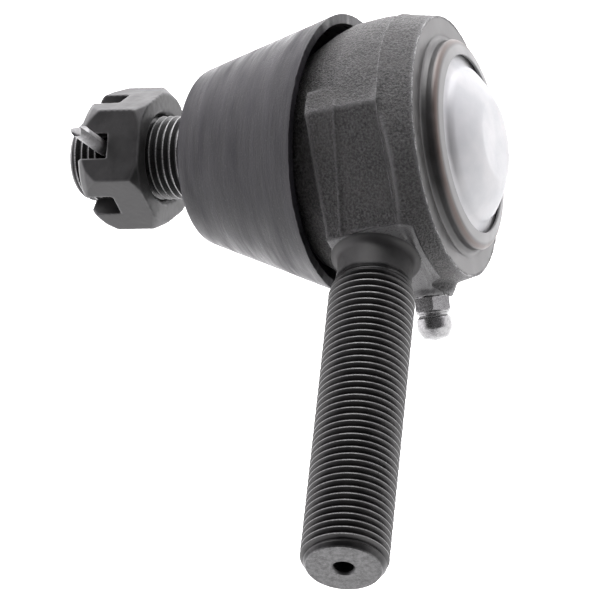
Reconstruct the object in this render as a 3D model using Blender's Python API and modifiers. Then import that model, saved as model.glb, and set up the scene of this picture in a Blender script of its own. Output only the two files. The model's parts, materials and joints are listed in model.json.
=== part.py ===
"""Tie rod end: a forged socket with a threaded shank, a tilted ball stud, its bearings and its boot.

Frame: +X runs along the threaded shank, +Y along the socket's bore towards the end plug, +Z up.
The origin is the centre of the end plug's flat crown.
"""
from math import asin, cos, pi, radians, sin, sqrt

import bmesh
import bpy
from mathutils import Matrix, Vector

MM = 0.001
GAP = 0.3 * MM
ROUND_STEPS = 40

# Socket housing, turned about the bore axis. Heights are along +Y from the plug's crown.
SHANK_AXIS_Y = -21.4 * MM
PARTING_Y = SHANK_AXIS_Y + 7.25 * MM
BARREL_R = 25.5 * MM
RIDGE_R = 24.28 * MM
RIDGE_Y = -7.78 * MM
LIP_R = 19.5 * MM
LIP_Y = -4.88 * MM
MOUTH_R = 16.57 * MM
MOUTH_Y = -4.38 * MM
BARREL_END_Y = -34.8 * MM
BARREL_END_R = 18.7 * MM
FLARE_MOUTH_R = 17.6 * MM
FLARE_WAIST = (16.2 * MM, -30.0 * MM)
HOUSING_STEPS = 56
PLUG_SEAT_R = 17.9 * MM
PLUG_SEAT_Y = -7.3 * MM
BORE_R = 16.2 * MM

# Neck between the socket and the shank, outlined in the XZ plane.
NECK_FACE_X = 23.85 * MM
FACE_RUN_OUT = 1.6 * MM
NECK_BASE_Y = SHANK_AXIS_Y - 7.0 * MM
NECK_DRAFT = 0.95
SLANT_SUM = 32.8 * MM
LEDGE_ANGLE = radians(80)
LEDGE_Z = 25.4 * MM

# Threaded shank, 5/8 inch, along +X.
SHANK_R = 7.94 * MM
SHANK_END_X = 91.3 * MM
SHANK_NECK_R = 7.0 * MM
THREAD_START_X = 30.3 * MM
FLARE_R = 9.2 * MM
CENTRE_DRILL_R = 2.1 * MM

# Ball, bearings and throat.
BALL_CENTRE = Vector((0, -16.0 * MM, 0))
BALL_R = 12.4 * MM
BALL_FLAT = 10.0 * MM
RACE_R = BALL_R + GAP
RACE_OUTER_R = 15.6 * MM
THROAT_ANGLE = radians(50)

# Ball stud, along its own axis from the ball's centre.
REST_TILT = radians(8.75)
NECK_R = 6.5 * MM
TAPER_START = 19.5 * MM
TAPER_END = 40.0 * MM
TAPER_BIG_R = 9.6 * MM
TAPER_SMALL_R = 8.35 * MM
STUD_THREAD_R = 7.7 * MM
STUD_END = 67.9 * MM
COTTER_HEIGHT = 60.2 * MM
COTTER_ANGLE = radians(65)

# Boot, nut and cotter pin, on the stud's axis.
BOOT_RIM_R = 26.05 * MM
BOOT_RIM = 13.66 * MM
BOOT_TOP_R = 16.34 * MM
BOOT_TOP = 41.29 * MM
BOOT_WALL = 1.85 * MM
NUT_FLATS = 23.81 * MM
NUT_BASE = 51.0 * MM
NUT_TOP = 64.1 * MM
NUT_BORE_R = 8.0 * MM
SLOT_WIDTH = 4.7 * MM
SLOT_FLOOR = 57.7 * MM
COTTER_R = 1.35 * MM
COTTER_REACH = 20.5 * MM

# Grease fitting, square to a flat on the lower side of the neck.
FITTING_ANGLE = radians(34)
FITTING_SEAT = 26.9 * MM
FITTING_THREAD_R = 3.0 * MM
FITTING_FLATS = 6.35 * MM
CHECK_BALL_R = 1.15 * MM
CHECK_BALL_POS = 32.9 * MM


def clear_scene():
    for item in list(bpy.data.objects):
        bpy.data.objects.remove(item, do_unlink=True)


def make_collection(name):
    collection = bpy.data.collections.new(name)
    bpy.context.scene.collection.children.link(collection)
    return collection


clear_scene()
PARTS = make_collection("tie_rod_end")
CUTTERS = make_collection("cutters")


def material(name, colour, roughness, metallic):
    made = bpy.data.materials.new(name)
    made.use_nodes = True
    shader = made.node_tree.nodes["Principled BSDF"]
    shader.inputs["Base Color"].default_value = (*colour, 1)
    shader.inputs["Roughness"].default_value = roughness
    shader.inputs["Metallic"].default_value = metallic
    return made


def axis_matrix(origin, axis, side):
    """A frame at origin with local Z along axis and local X along side."""
    z = Vector(axis).normalized()
    x = (Vector(side) - z * z.dot(Vector(side))).normalized()
    y = z.cross(x)
    turn = Matrix((x, y, z)).transposed().to_4x4()
    return Matrix.Translation(Vector(origin)) @ turn


STUD_AXIS = Vector((-sin(REST_TILT), -cos(REST_TILT), 0))
FITTING_AXIS = Vector((cos(FITTING_ANGLE), 0, -sin(FITTING_ANGLE)))
BORE_FRAME = axis_matrix((0, 0, 0), (0, 1, 0), (1, 0, 0))
RACE_FRAME = axis_matrix(BALL_CENTRE, (0, 1, 0), (1, 0, 0))
STUD_FRAME = axis_matrix(BALL_CENTRE, STUD_AXIS, (1, 0, 0))
SHANK_FRAME = axis_matrix((0, SHANK_AXIS_Y, 0), (1, 0, 0), (0, 1, 0))
FITTING_FRAME = axis_matrix((0, BALL_CENTRE.y, 0), FITTING_AXIS, (0, 1, 0))


def add_object(name, mesh, frame, look=None):
    """A part when it has a look, otherwise a wire helper that only shapes other objects."""
    made = bpy.data.objects.new(name, mesh)
    made.matrix_world = frame
    if look is None:
        CUTTERS.objects.link(made)
        made.hide_render = True
        made.display_type = "WIRE"
        return made
    PARTS.objects.link(made)
    mesh.materials.append(look)
    return made


def turned(name, profile, frame, look=None, steps=ROUND_STEPS):
    """Turn (radius, height) points about local Z. The outline closes on itself or on the axis."""
    on_axis = profile[0][0] == 0 and profile[-1][0] == 0
    edges = [(i, i + 1) for i in range(len(profile) - 1)]
    if not on_axis:
        edges.append((len(profile) - 1, 0))
    mesh = bpy.data.meshes.new(name)
    mesh.from_pydata([(r, 0, z) for r, z in profile], edges, [])
    made = add_object(name, mesh, frame, look)
    screw = made.modifiers.new("turn", "SCREW")
    screw.steps = steps
    screw.render_steps = steps
    screw.use_merge_vertices = True
    screw.merge_threshold = 0.00001
    return made


def solid_from(name, builder, frame, look=None):
    """A solid from a function that fills a bmesh in local coordinates."""
    shape = bmesh.new()
    builder(shape)
    bmesh.ops.recalc_face_normals(shape, faces=shape.faces[:])
    mesh = bpy.data.meshes.new(name)
    shape.to_mesh(mesh)
    shape.free()
    return add_object(name, mesh, frame, look)


def block(name, low, high, frame, look=None):
    """A box between two local corners."""
    centre = (Vector(low) + Vector(high)) / 2
    size = Vector(high) - Vector(low)

    def build(shape):
        bmesh.ops.create_cube(shape, size=1)
        bmesh.ops.scale(shape, vec=size, verts=shape.verts[:])
        bmesh.ops.translate(shape, vec=centre, verts=shape.verts[:])

    return solid_from(name, build, frame, look)


def prism(name, sides, radius, low, high, turn, frame, look=None):
    """A regular prism or a cylinder about local Z, with its first corner at the angle turn."""

    def build(shape):
        bmesh.ops.create_cone(shape, cap_ends=True, segments=sides, radius1=radius, radius2=radius,
                              depth=high - low)
        bmesh.ops.translate(shape, vec=(0, 0, (low + high) / 2), verts=shape.verts[:])
        first = next(v for v in shape.verts)
        start = Vector((1, 0)).angle_signed(Vector((first.co.x, first.co.y)))
        bmesh.ops.rotate(shape, cent=(0, 0, 0), matrix=Matrix.Rotation(turn + start, 3, "Z"),
                         verts=shape.verts[:])

    return solid_from(name, build, frame, look)


def combine(target, helper, operation):
    modifier = target.modifiers.new(operation.lower() + "_" + helper.name, "BOOLEAN")
    modifier.operation = operation
    modifier.object = helper
    modifier.solver = "EXACT"


def arc(radius, start, end, count, centre=0.0):
    """Profile points on a sphere about the axis; angles are from local -Z."""
    step = (end - start) / (count - 1)
    angles = [start + step * i for i in range(count)]
    return [(radius * sin(a), centre - radius * cos(a)) for a in angles]


def dome_drop(radius, sphere, flat):
    """How far a sphere has fallen at a radius, below the edge of its flat crown."""
    return sqrt(sphere ** 2 - flat ** 2) - sqrt(sphere ** 2 - radius ** 2)


def housing_blank():
    """The forged socket, before it is bored, about the bore axis."""
    outline = [
        (0, MOUTH_Y),
        (MOUTH_R, MOUTH_Y),
        (LIP_R - 0.5 * MM, LIP_Y),
        (LIP_R + 0.1 * MM, LIP_Y - 0.6 * MM),
        (LIP_R, RIDGE_Y + 1.2 * MM),
        (LIP_R + 0.35 * MM, RIDGE_Y + 0.35 * MM),
        (LIP_R + 1.2 * MM, RIDGE_Y),
        (RIDGE_R, RIDGE_Y),
        (BARREL_R, PARTING_Y),
        (BARREL_R - 0.1 * MM, -19.0 * MM),
        (25.0 * MM, -22.5 * MM),
        (23.9 * MM, -25.8 * MM),
        (22.5 * MM, -28.9 * MM),
        (20.8 * MM, -32.0 * MM),
        (BARREL_END_R, BARREL_END_Y),
        (0, BARREL_END_Y),
    ]
    return turned("housing", outline, BORE_FRAME, FORGED, steps=HOUSING_STEPS)


def neck_outline():
    """The neck's plan, from the socket round to the machined face and the flat for the fitting."""
    points = [
        (BARREL_R * cos(LEDGE_ANGLE), BARREL_R * sin(LEDGE_ANGLE)),
        (SLANT_SUM - LEDGE_Z, LEDGE_Z),
    ]
    beyond = NECK_FACE_X + 3 * MM
    flat = FITTING_SEAT
    along = Vector((sin(FITTING_ANGLE), cos(FITTING_ANGLE)))
    foot = Vector((cos(FITTING_ANGLE), -sin(FITTING_ANGLE))) * flat
    points.append((beyond, SLANT_SUM - beyond))
    rise = (beyond - foot.x) / along.x
    points.append(tuple(foot + along * rise))
    points.append(tuple(foot - along * 7.5 * MM))
    points.append((9.5 * MM, -23.6 * MM))
    points.append((0, -18 * MM))
    points.append((0, 18 * MM))
    return points


def neck_block():
    """The neck: its plan drawn down from the parting plane, with draft towards the stud side."""
    outline = neck_outline()

    def build(shape):
        verts = [shape.verts.new((x, PARTING_Y, z)) for x, z in outline]
        top = shape.faces.new(verts)
        pulled = bmesh.ops.extrude_face_region(shape, geom=[top])["geom"]
        for vert in (v for v in pulled if isinstance(v, bmesh.types.BMVert)):
            vert.co = Vector((vert.co.x * NECK_DRAFT, NECK_BASE_Y, vert.co.z * NECK_DRAFT))

    return solid_from("neck_block", build, Matrix.Identity(4))


def slant_cutter():
    """Takes the socket back to the neck's upper slanted face, below the parting plane."""
    face = SLANT_SUM / sqrt(2)
    frame = axis_matrix((0, PARTING_Y, 0), (1, 0, 1), (0, 1, 0))
    lean = Matrix.Translation((0, 0, face)) @ Matrix.Rotation(radians(-4.5), 4, "Y")
    return block("slant_cutter", (-25 * MM, -10.2 * MM, 0), (0, 30 * MM, 20 * MM), frame @ lean)


def shank_solid():
    start = 12 * MM
    outline = [
        (0, SHANK_END_X - 4.2 * MM),
        (1.2 * MM, SHANK_END_X - 3.6 * MM),
        (1.2 * MM, SHANK_END_X - 0.9 * MM),
        (CENTRE_DRILL_R, SHANK_END_X),
        (6.74 * MM, SHANK_END_X),
        (SHANK_R, SHANK_END_X - 1.9 * MM),
        (SHANK_R, THREAD_START_X + 2.4 * MM),
        (SHANK_NECK_R, THREAD_START_X - 0.6 * MM),
        (SHANK_NECK_R, NECK_FACE_X + 3.4 * MM),
        (SHANK_NECK_R + 0.5 * MM, NECK_FACE_X + 1.5 * MM),
        (FLARE_R, NECK_FACE_X - 0.1 * MM),
        (SHANK_R, NECK_FACE_X - 1.6 * MM),
        (SHANK_R - 1.4 * MM, start),
        (0, start),
    ]
    return turned("shank_solid", outline, SHANK_FRAME)


def bore_cutter():
    """The whole bore: mouth, plug seat, bearing bore, spherical seat, throat and flared stud side."""
    seat = arc(RACE_OUTER_R + GAP, radians(90), THROAT_ANGLE, 7, BALL_CENTRE.y)
    throat_r, throat_y = seat[-1]
    outline = [
        (0, 5 * MM),
        (MOUTH_R, 5 * MM),
        (MOUTH_R, -4.95 * MM),
        (PLUG_SEAT_R, -5.25 * MM),
        (PLUG_SEAT_R, PLUG_SEAT_Y),
        (BORE_R, PLUG_SEAT_Y),
        (BORE_R, BALL_CENTRE.y),
    ]
    outline += seat
    outline += [
        (throat_r, throat_y - 0.5 * MM),
        FLARE_WAIST,
        (FLARE_MOUTH_R, BARREL_END_Y),
        (FLARE_MOUTH_R, BARREL_END_Y - 2 * MM),
        (0, BARREL_END_Y - 2 * MM),
    ]
    return turned("bore_cutter", outline, BORE_FRAME, steps=HOUSING_STEPS)


def grease_hole_cutter():
    outline = [
        (0, FITTING_SEAT + 4 * MM),
        (FITTING_THREAD_R + GAP, FITTING_SEAT + 4 * MM),
        (FITTING_THREAD_R + GAP, 20.4 * MM),
        (1.5 * MM, 19.2 * MM),
        (1.5 * MM, 10 * MM),
        (0, 10 * MM),
    ]
    return turned("grease_hole_cutter", outline, FITTING_FRAME, steps=24)


def make_housing():
    housing = housing_blank()
    beyond_face = block("face_cutter", (NECK_FACE_X, -60 * MM, -40 * MM),
                        (60 * MM, PARTING_Y + FACE_RUN_OUT, 40 * MM), Matrix.Identity(4))
    pad = prism("fitting_pad", 32, 5.6 * MM, 16 * MM, FITTING_SEAT, 0, FITTING_FRAME)
    combine(housing, slant_cutter(), "DIFFERENCE")
    combine(housing, neck_block(), "UNION")
    combine(housing, beyond_face, "DIFFERENCE")
    combine(housing, pad, "UNION")
    combine(housing, shank_solid(), "UNION")
    combine(housing, bore_cutter(), "DIFFERENCE")
    combine(housing, grease_hole_cutter(), "DIFFERENCE")
    return housing


def make_end_plug():
    """A domed pressing with a flat crown and a flange held under the rolled lip."""
    crown_r = 7.6 * MM
    dome = [8.8 * MM, 10.2 * MM, 11.6 * MM, 13.0 * MM, 14.2 * MM]
    inner_crown_r = 7.0 * MM
    inner = [13.3 * MM, 12.2 * MM, 10.6 * MM, 8.8 * MM]
    thickness = 2.0 * MM
    outline = [(0, 0), (crown_r, 0)]
    outline += [(r, -dome_drop(r, 22 * MM, crown_r)) for r in dome]
    outline += [
        (14.8 * MM, -4.75 * MM),
        (15.7 * MM, -5.3 * MM),
        (PLUG_SEAT_R - GAP, -5.6 * MM),
        (PLUG_SEAT_R - GAP, PLUG_SEAT_Y + GAP),
        (13.9 * MM, PLUG_SEAT_Y + GAP),
    ]
    outline += [(r, -thickness - dome_drop(r, 20 * MM, inner_crown_r)) for r in inner]
    outline += [(inner_crown_r, -thickness), (0, -thickness)]
    return turned("end_plug", outline, BORE_FRAME, PLUG_ZINC)


def make_disc_spring():
    outline = [
        (6.6 * MM, -2.35 * MM),
        (11.6 * MM, -5.2 * MM),
        (11.6 * MM, -6.05 * MM),
        (6.6 * MM, -3.2 * MM),
    ]
    return turned("preload_disc_spring", outline, BORE_FRAME, SPRING_STEEL)


def make_upper_bearing():
    """The pressure plate that the disc spring holds down on the ball."""
    race = arc(RACE_R, radians(110), radians(146), 7)
    inner = [(r, z + BALL_CENTRE.y) for r, z in reversed(race)]
    foot_y = inner[-1][1]
    outline = [
        (7.5 * MM, -5.4 * MM),
        (12.5 * MM, -6.6 * MM),
        (BORE_R - GAP, -9.5 * MM),
        (BORE_R - GAP, foot_y),
    ]
    outline += reversed(inner)
    return turned("upper_bearing", outline, BORE_FRAME, SINTERED)


def make_lower_bearing():
    """A race with a ball-shaped outside, so that it rocks in its seat with the stud."""
    low, high = radians(52), radians(84)
    outline = arc(RACE_OUTER_R, high, low, 6)
    outline += arc(RACE_R, low, high, 6)
    return turned("lower_bearing", outline, RACE_FRAME, SINTERED)


def make_ball_stud():
    neck_angle = pi - sin_angle(NECK_R, BALL_R)
    flat_angle = sin_angle(sqrt(BALL_R ** 2 - BALL_FLAT ** 2), BALL_R)
    ball = arc(BALL_R, neck_angle, flat_angle, 14)
    outline = [
        (0, STUD_END),
        (6.8 * MM, STUD_END),
        (STUD_THREAD_R, STUD_END - 1.0 * MM),
        (STUD_THREAD_R, TAPER_END + 0.6 * MM),
        (TAPER_SMALL_R, TAPER_END),
        (TAPER_BIG_R, TAPER_START),
        (TAPER_BIG_R - 0.4 * MM, TAPER_START - 1.2 * MM),
        (NECK_R + 0.8 * MM, 15.2 * MM),
        (NECK_R, 13.4 * MM),
    ]
    outline += ball
    outline.append((0, -BALL_FLAT))
    stud = turned("ball_stud", outline, STUD_FRAME, STUD_BLACK)
    cross = cotter_frame()
    hole = prism("cotter_hole", 24, COTTER_R + 0.35 * MM, -15 * MM, 15 * MM, 0, cross)
    combine(stud, hole, "DIFFERENCE")
    return stud


def sin_angle(opposite, radius):
    """The angle whose sine is opposite over radius, from -Z, below the equator."""
    return asin(opposite / radius)


def cotter_frame():
    """Local Z along the cotter hole, local X along the stud."""
    across = Matrix.Rotation(COTTER_ANGLE, 4, "Z")
    local = axis_matrix((0, 0, COTTER_HEIGHT), (1, 0, 0), (0, 0, 1))
    return STUD_FRAME @ across @ local


def make_dust_boot():
    slope = (BOOT_RIM_R - BOOT_TOP_R) / (BOOT_TOP - BOOT_RIM)
    wall_top = BOOT_TOP - 2.8 * MM
    inner_rim = BOOT_RIM_R - BOOT_WALL
    inner_top = inner_rim - slope * (wall_top - BOOT_RIM)
    collar_r = 8.75 * MM
    outline = [
        (collar_r, BOOT_TOP),
        (BOOT_TOP_R - 1.1 * MM, BOOT_TOP),
        (BOOT_TOP_R - 0.1 * MM, BOOT_TOP - 0.8 * MM),
        (BOOT_RIM_R, BOOT_RIM),
        (inner_rim, BOOT_RIM),
        (inner_top, wall_top),
        (collar_r, wall_top),
    ]
    return turned("dust_boot", outline, STUD_FRAME, RUBBER)


def make_boot_ring():
    """The stiff ring under the boot's small end, which keeps it round on the stud."""
    top = BOOT_TOP - 2.8 * MM - GAP
    outline = [
        (9.1 * MM, top),
        (13.2 * MM, top),
        (13.2 * MM, top - 3.0 * MM),
        (9.1 * MM, top - 3.0 * MM),
    ]
    return turned("boot_seat_ring", outline, STUD_FRAME, NYLON)


def make_castle_nut():
    corner_r = NUT_FLATS / sqrt(3)
    nut = prism("castle_nut", 6, corner_r, NUT_BASE, NUT_TOP, radians(35), STUD_FRAME, NUT_BLACK)
    envelope = turned("nut_envelope", [
        (0, NUT_TOP),
        (11.1 * MM, NUT_TOP),
        (14.2 * MM, NUT_TOP - 4.0 * MM),
        (14.2 * MM, NUT_BASE + 2.0 * MM),
        (12.2 * MM, NUT_BASE),
        (0, NUT_BASE),
    ], STUD_FRAME, steps=36)
    bore = turned("nut_bore", [
        (0, NUT_TOP + 1 * MM),
        (NUT_BORE_R, NUT_TOP + 1 * MM),
        (NUT_BORE_R, NUT_BASE + 0.9 * MM),
        (NUT_BORE_R + 0.9 * MM, NUT_BASE - 0.01 * MM),
        (NUT_BORE_R + 0.9 * MM, NUT_BASE - 1 * MM),
        (0, NUT_BASE - 1 * MM),
    ], STUD_FRAME, steps=36)
    combine(nut, envelope, "INTERSECT")
    combine(nut, bore, "DIFFERENCE")
    for index in range(3):
        frame = STUD_FRAME @ Matrix.Rotation(COTTER_ANGLE + index * pi / 3, 4, "Z")
        half = SLOT_WIDTH / 2
        slot = block(f"nut_slot_{index + 1}", (-20 * MM, -half, SLOT_FLOOR),
                     (20 * MM, half, NUT_TOP + 2 * MM), frame)
        combine(nut, slot, "DIFFERENCE")
    return nut


def make_cotter_pin():
    """Straight legs through the stud, with the eye outside the nut on the far side."""
    frame = cotter_frame()
    pin = prism("cotter_pin", 16, COTTER_R, -13.6 * MM, COTTER_REACH, 0, frame, GALVANISED)
    bpy.ops.mesh.primitive_torus_add(major_segments=24, minor_segments=8, major_radius=2.3 * MM,
                                     minor_radius=0.95 * MM)
    eye = bpy.context.object
    eye.name = "cotter_eye"
    for collection in list(eye.users_collection):
        collection.objects.unlink(eye)
    CUTTERS.objects.link(eye)
    eye.hide_render = True
    eye.display_type = "WIRE"
    across_stud = Matrix.Rotation(radians(90), 4, "Y")
    eye.matrix_world = frame @ Matrix.Translation((0, 0, -15.6 * MM)) @ across_stud
    combine(pin, eye, "UNION")
    return pin


def make_grease_fitting():
    bore = [
        (0.75 * MM, 34.9 * MM),
        (1.0 * MM, 34.9 * MM),
        (2.3 * MM, 34.6 * MM),
        (3.28 * MM, 32.9 * MM),
        (3.28 * MM, 30.9 * MM),
        (2.8 * MM, 30.3 * MM),
        (2.8 * MM, 29.0 * MM),
        (FITTING_THREAD_R, FITTING_SEAT + 0.3 * MM),
        (FITTING_THREAD_R, 21.2 * MM),
        (0.8 * MM, 20.9 * MM),
        (0.8 * MM, 23.6 * MM),
        (1.45 * MM, 23.8 * MM),
        (1.45 * MM, 33.5 * MM),
        (0.75 * MM, 34.3 * MM),
    ]
    fitting = turned("grease_fitting", bore, FITTING_FRAME, BRIGHT_ZINC, steps=32)
    collar = turned("fitting_hex_bore", [
        (0, 31 * MM),
        (2.4 * MM, 31 * MM),
        (2.4 * MM, 25 * MM),
        (0, 25 * MM),
    ], FITTING_FRAME, steps=32)
    hexagon = prism("fitting_hex", 6, FITTING_FLATS / sqrt(3), FITTING_SEAT + GAP, 29.6 * MM,
                    radians(10), FITTING_FRAME)
    combine(hexagon, collar, "DIFFERENCE")
    combine(fitting, hexagon, "UNION")
    return fitting


def make_check_ball():
    def build(shape):
        bmesh.ops.create_uvsphere(shape, u_segments=16, v_segments=10, radius=CHECK_BALL_R)

    frame = FITTING_FRAME @ Matrix.Translation((0, 0, CHECK_BALL_POS))
    return solid_from("fitting_check_ball", build, frame, SPRING_STEEL)


def make_check_spring():
    """A small coil under the check ball."""
    turns = 5
    points_a_turn = 10
    coil_r = 1.0 * MM
    wire_r = 0.17 * MM
    low = 24.1 * MM
    high = CHECK_BALL_POS - CHECK_BALL_R - wire_r - 0.15 * MM
    count = turns * points_a_turn + 1
    curve = bpy.data.curves.new("fitting_check_spring", "CURVE")
    curve.dimensions = "3D"
    curve.bevel_depth = wire_r
    curve.bevel_resolution = 2
    curve.use_fill_caps = True
    spline = curve.splines.new("POLY")
    spline.points.add(count - 1)
    for index in range(count):
        angle = 2 * pi * index / points_a_turn
        height = low + (high - low) * index / (count - 1)
        spline.points[index].co = (coil_r * cos(angle), coil_r * sin(angle), height, 1)
    spring = bpy.data.objects.new("fitting_check_spring", curve)
    spring.matrix_world = FITTING_FRAME
    PARTS.objects.link(spring)
    curve.materials.append(SPRING_STEEL)
    return spring


def shade(made):
    """Round pieces smooth, with their sharp edges kept."""
    if made.type != "MESH":
        return
    made.data.shade_smooth()
    made.data.set_sharp_from_angle(angle=radians(35))


FORGED = material("forged_steel", (0.055, 0.053, 0.052), 0.55, 0.7)
PLUG_ZINC = material("plug_zinc", (0.78, 0.79, 0.80), 0.22, 1.0)
SPRING_STEEL = material("spring_steel", (0.32, 0.32, 0.33), 0.35, 1.0)
SINTERED = material("sintered_iron", (0.20, 0.19, 0.18), 0.6, 0.8)
STUD_BLACK = material("stud_black", (0.03, 0.03, 0.032), 0.35, 0.8)
RUBBER = material("boot_rubber", (0.045, 0.044, 0.048), 0.5, 0.0)
NYLON = material("ring_nylon", (0.75, 0.73, 0.66), 0.5, 0.0)
NUT_BLACK = material("nut_black", (0.035, 0.035, 0.037), 0.38, 0.8)
GALVANISED = material("cotter_galvanised", (0.55, 0.56, 0.57), 0.35, 1.0)
BRIGHT_ZINC = material("fitting_zinc", (0.72, 0.73, 0.74), 0.25, 1.0)

MAKERS = [
    make_housing,
    make_end_plug,
    make_disc_spring,
    make_upper_bearing,
    make_lower_bearing,
    make_ball_stud,
    make_dust_boot,
    make_boot_ring,
    make_castle_nut,
    make_cotter_pin,
    make_grease_fitting,
    make_check_ball,
    make_check_spring,
]
for maker in MAKERS:
    shade(maker())
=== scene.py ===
"""Tie rod end: the finished look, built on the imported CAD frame.

Outlines are in millimetres in the local frame of their part, and land in metres in the row frame.
"""
import json
from math import acos, asin, cos, pi, radians, sin, sqrt, tan

import bmesh
import bpy
import numpy as np
from mathutils import Matrix, Vector, noise


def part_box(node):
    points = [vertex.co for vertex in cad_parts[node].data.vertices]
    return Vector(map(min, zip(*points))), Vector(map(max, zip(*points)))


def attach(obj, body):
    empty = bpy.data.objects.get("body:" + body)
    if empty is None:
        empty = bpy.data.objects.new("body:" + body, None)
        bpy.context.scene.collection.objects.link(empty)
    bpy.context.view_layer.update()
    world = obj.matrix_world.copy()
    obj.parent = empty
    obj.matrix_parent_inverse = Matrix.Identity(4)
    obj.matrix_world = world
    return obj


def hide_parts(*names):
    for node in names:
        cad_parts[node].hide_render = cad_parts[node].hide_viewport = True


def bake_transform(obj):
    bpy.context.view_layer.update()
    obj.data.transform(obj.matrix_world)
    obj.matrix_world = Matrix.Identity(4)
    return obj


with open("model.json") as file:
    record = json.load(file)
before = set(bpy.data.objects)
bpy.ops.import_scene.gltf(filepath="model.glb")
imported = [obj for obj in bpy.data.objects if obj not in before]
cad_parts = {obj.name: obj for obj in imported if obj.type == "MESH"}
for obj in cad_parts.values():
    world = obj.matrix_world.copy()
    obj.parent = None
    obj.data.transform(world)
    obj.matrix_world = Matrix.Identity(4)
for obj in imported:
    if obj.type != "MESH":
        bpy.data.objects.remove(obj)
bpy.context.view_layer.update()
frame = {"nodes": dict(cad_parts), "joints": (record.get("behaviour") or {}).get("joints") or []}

MM = 0.001
FINE = 192
WELD = 2e-7

# Driving sizes, in millimetres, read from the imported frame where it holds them.
JOINTS = {joint["name"]: joint for joint in frame["joints"]}
BALL_CENTRE = Vector(JOINTS["stud_spin"]["pos_m"])
STUD_AXIS = Vector(JOINTS["stud_spin"]["axis"])
FITTING_AXIS = -Vector(JOINTS["check_ball_lift"]["axis"])
SHANK_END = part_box("housing")[1].x / MM
BALL_Y = BALL_CENTRE.y / MM
BORE_TO_SHANK = 21.4
PARTING_Y = 7.25 - BORE_TO_SHANK
BARREL_R = 25.5
RIDGE_R = 24.28
RIDGE_Y = -7.78
BORE_R = 16.2
SEAT_R = 15.9
BARREL_END = -34.8
FLARE_MOUTH = (17.6, BARREL_END)
FLARE_WAIST = (16.2, -30.0)
NECK_FACE = 23.85
FACE_RUN_OUT = 1.4
SLANT_SUM = 32.8
SLANT_LEAN = radians(4.5)
SEAM_Y = -BORE_TO_SHANK - 2.6
SEAM_LEAN = 0.09
LEDGE_ANGLE = radians(85)
LEDGE_Z = 25.4
SHANK_R = 7.94
SHANK_NECK_R = 6.9
PITCH = 25.4 / 18
THREAD_DEPTH = 0.6134 * PITCH
THREAD_START = 29.6
BALL_R = 12.4
COTTER_R = 1.35
COTTER_HEIGHT = 60.2
STUD_THREAD_R = 7.85
STUD_END = 67.9
COTTER_ANGLE = radians(65)
NUT_BASE = 51.0
NUT_TOP = 64.1
SLOT_FLOOR = 57.7
SLOT_WIDTH = 4.7
NUT_FLATS = 23.81
BOOT_RIM_R = 26.05
BOOT_RIM = 13.66
BOOT_TOP_R = 16.34
BOOT_TOP = 41.29
BOOT_WALL = 1.85
BOOT_SLOPE = (BOOT_RIM_R - BOOT_TOP_R) / (BOOT_TOP - BOOT_RIM)
FITTING_SEAT = 26.9
FITTING_FLATS = 6.35
SWING_LIMIT = radians(JOINTS["stud_swing"]["range_deg"][1])


def local_frame(origin, axis, side):
    """Local millimetres to the row frame: local Z along axis, local X towards side."""
    z = Vector(axis).normalized()
    x = (Vector(side) - z * z.dot(Vector(side))).normalized()
    turn = Matrix((x, z.cross(x), z)).transposed().to_4x4()
    return Matrix.Translation(Vector(origin)) @ turn @ Matrix.Scale(MM, 4)


ROW = Matrix.Scale(MM, 4)
BORE = local_frame((0, 0, 0), (0, 1, 0), (1, 0, 0))
SHANK = local_frame((0, -BORE_TO_SHANK * MM, 0), (1, 0, 0), (0, 1, 0))
STUD = local_frame(BALL_CENTRE, STUD_AXIS, (1, 0, 0))
FITTING = local_frame((0, BALL_CENTRE.y, 0), FITTING_AXIS, (0, 1, 0))
COTTER = STUD @ Matrix.Rotation(COTTER_ANGLE, 4, "Z") @ Matrix.Translation((0, 0, COTTER_HEIGHT))


# ---------------------------------------------------------------- mesh tools

def arc(radius, start, end, count, centre=0.0):
    """Outline points on a sphere about the axis; angles in degrees from local -Z."""
    angles = [radians(start + (end - start) * i / (count - 1)) for i in range(count)]
    return [(radius * sin(a), centre - radius * cos(a)) for a in angles]


def rounded(points, size=0.3, count=4):
    """The outline with soft corners. A third value on a point is that corner's own size."""
    closed = points[0][0] > 0
    total = len(points)
    out = []
    for index, point in enumerate(points):
        corner = Vector(point[:2])
        reach = point[2] if len(point) > 2 else size
        if reach == 0 or (not closed and index in (0, total - 1)):
            out.append(tuple(corner))
            continue
        before = Vector(points[index - 1][:2]) - corner
        after = Vector(points[(index + 1) % total][:2]) - corner
        first = corner + before.normalized() * min(reach, before.length * 0.45)
        last = corner + after.normalized() * min(reach, after.length * 0.45)
        for step in range(count + 1):
            t = step / count
            out.append(tuple(first.lerp(corner, t).lerp(corner.lerp(last, t), t)))
    return out


def divided(points, spacing, closed=True):
    """The outline with no stretch longer than the spacing."""
    out = []
    ends = points[1:] + points[:1] if closed else points[1:]
    for start, end in zip(points, ends):
        pieces = max(1, int((Vector(end) - Vector(start)).length / spacing))
        out += [tuple(Vector(start).lerp(Vector(end), i / pieces)) for i in range(pieces)]
    return out if closed else out + [points[-1]]


def lathe(outline, steps=FINE, closed=False):
    """Vertices and faces of (radius, height) points turned about local Z."""
    verts, rings, faces = [], [], []
    for radius, height in outline:
        if radius == 0:
            rings.append([len(verts)] * steps)
            verts.append((0, 0, height))
            continue
        rings.append(list(range(len(verts), len(verts) + steps)))
        turns = (2 * pi * i / steps for i in range(steps))
        verts += [(radius * cos(a), radius * sin(a), height) for a in turns]
    pairs = list(zip(rings, rings[1:]))
    if closed:
        pairs.append((rings[-1], rings[0]))
    for low, high in pairs:
        for i in range(steps):
            j = (i + 1) % steps
            face = list(dict.fromkeys((low[i], low[j], high[j], high[i])))
            if len(face) > 2:
                faces.append(face)
    return verts, faces


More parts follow.
